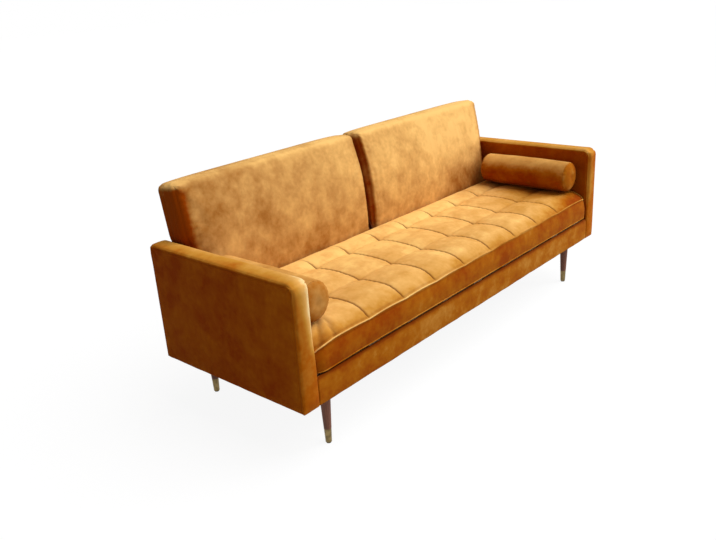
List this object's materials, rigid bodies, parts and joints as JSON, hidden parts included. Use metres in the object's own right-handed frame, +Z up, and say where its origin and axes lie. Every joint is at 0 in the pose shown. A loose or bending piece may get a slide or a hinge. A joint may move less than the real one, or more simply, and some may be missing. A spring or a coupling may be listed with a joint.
{
  "type": "sofa bed",
  "caption": "Split-back sofa bed with a tufted seat, slab arms, loose bolsters and tapered legs; each back half reclines level with the seat.",
  "frame": {"origin": "centre of the outer box on the floor plane, backs leaning at rest", "axes": "+X to the right as seen from the front along the width, +Y to the rear, +Z up"},
  "size_m": [2.06, 0.732, 0.8622],
  "materials": {
    "velvet": "satin",
    "foam": "matte",
    "felt": "matte",
    "dust_cloth": "matte",
    "frame_timber": "matte",
    "leg_wood": "satin",
    "brass": "satin",
    "nylon": "matte",
    "steel": "satin"
  },
  "bodies": {
    "base": {"arm_bolts": "steel", "bracket_screws": "steel", "centre_bracket": "steel", "centre_pin": "steel", "centre_rail": "frame_timber", "corner_blocks": "frame_timber", "deck_pad": "felt", "deck_rail": "frame_timber", "dust_cover": "dust_cloth", "ferrules": "brass", "front_apron": "velvet", "front_rail": "frame_timber", "glides": "nylon", "hanger_bolts": "steel", "left_arm_cover": "velvet", "left_arm_frame": "frame_timber", "left_end_rail": "frame_timber", "left_hinge_bracket": "steel", "left_hinge_pin": "steel", "leg_front_left": "leg_wood", "leg_front_right": "leg_wood", "leg_plates": "steel", "leg_rear_left": "leg_wood", "leg_rear_right": "leg_wood", "plate_screws": "steel", "rear_apron": "velvet", "rear_rail": "frame_timber", "right_arm_cover": "velvet", "right_arm_frame": "frame_timber", "right_end_rail": "frame_timber", "right_hinge_bracket": "steel", "right_hinge_pin": "steel", "seat_board": "frame_timber", "seat_cover": "velvet", "seat_foam": "foam", "seat_slats": "frame_timber"},
    "left_back": {"left_arm_screws": "steel", "left_back_cover": "velvet", "left_back_foam": "foam", "left_back_frame": "frame_timber", "left_back_panel": "velvet", "left_inner_hinge_arm": "steel", "left_outer_hinge_arm": "steel", "left_pawl_pin": "steel"},
    "left_pawl": {"left_pawl": "steel"},
    "left_bolster": {"left_bolster_cover": "velvet", "left_bolster_core": "foam"},
    "right_back": {"right_arm_screws": "steel", "right_back_cover": "velvet", "right_back_foam": "foam", "right_back_frame": "frame_timber", "right_back_panel": "velvet", "right_inner_hinge_arm": "steel", "right_outer_hinge_arm": "steel", "right_pawl_pin": "steel"},
    "right_pawl": {"right_pawl": "steel"},
    "right_bolster": {"right_bolster_cover": "velvet", "right_bolster_core": "foam"}
  },
  "joints": [
    {"name": "left_back_recline", "type": "hinge", "parent": "base", "child": "left_back", "pos_m": [-0.48, 0.21276, 0.412], "axis": [-1, 0, 0], "range_deg": [-8, 81]},
    {"name": "left_pawl_swing", "type": "hinge", "parent": "left_back", "child": "left_pawl", "pos_m": [-0.954, 0.24377, 0.43761], "axis": [1, 0, 0], "range_deg": [-15, 11]},
    {"name": "left_bolster_lift", "type": "slide", "parent": "base", "child": "left_bolster", "axis": [0, 0, 1], "range_m": [0, 0.3]},
    {"name": "right_back_recline", "type": "hinge", "parent": "base", "child": "right_back", "pos_m": [0.48, 0.21276, 0.412], "axis": [-1, 0, 0], "range_deg": [-8, 81]},
    {"name": "right_pawl_swing", "type": "hinge", "parent": "right_back", "child": "right_pawl", "pos_m": [0.954, 0.24377, 0.43761], "axis": [1, 0, 0], "range_deg": [-15, 11]},
    {"name": "right_bolster_lift", "type": "slide", "parent": "base", "child": "right_bolster", "axis": [0, 0, 1], "range_m": [0, 0.3]}
  ]
}
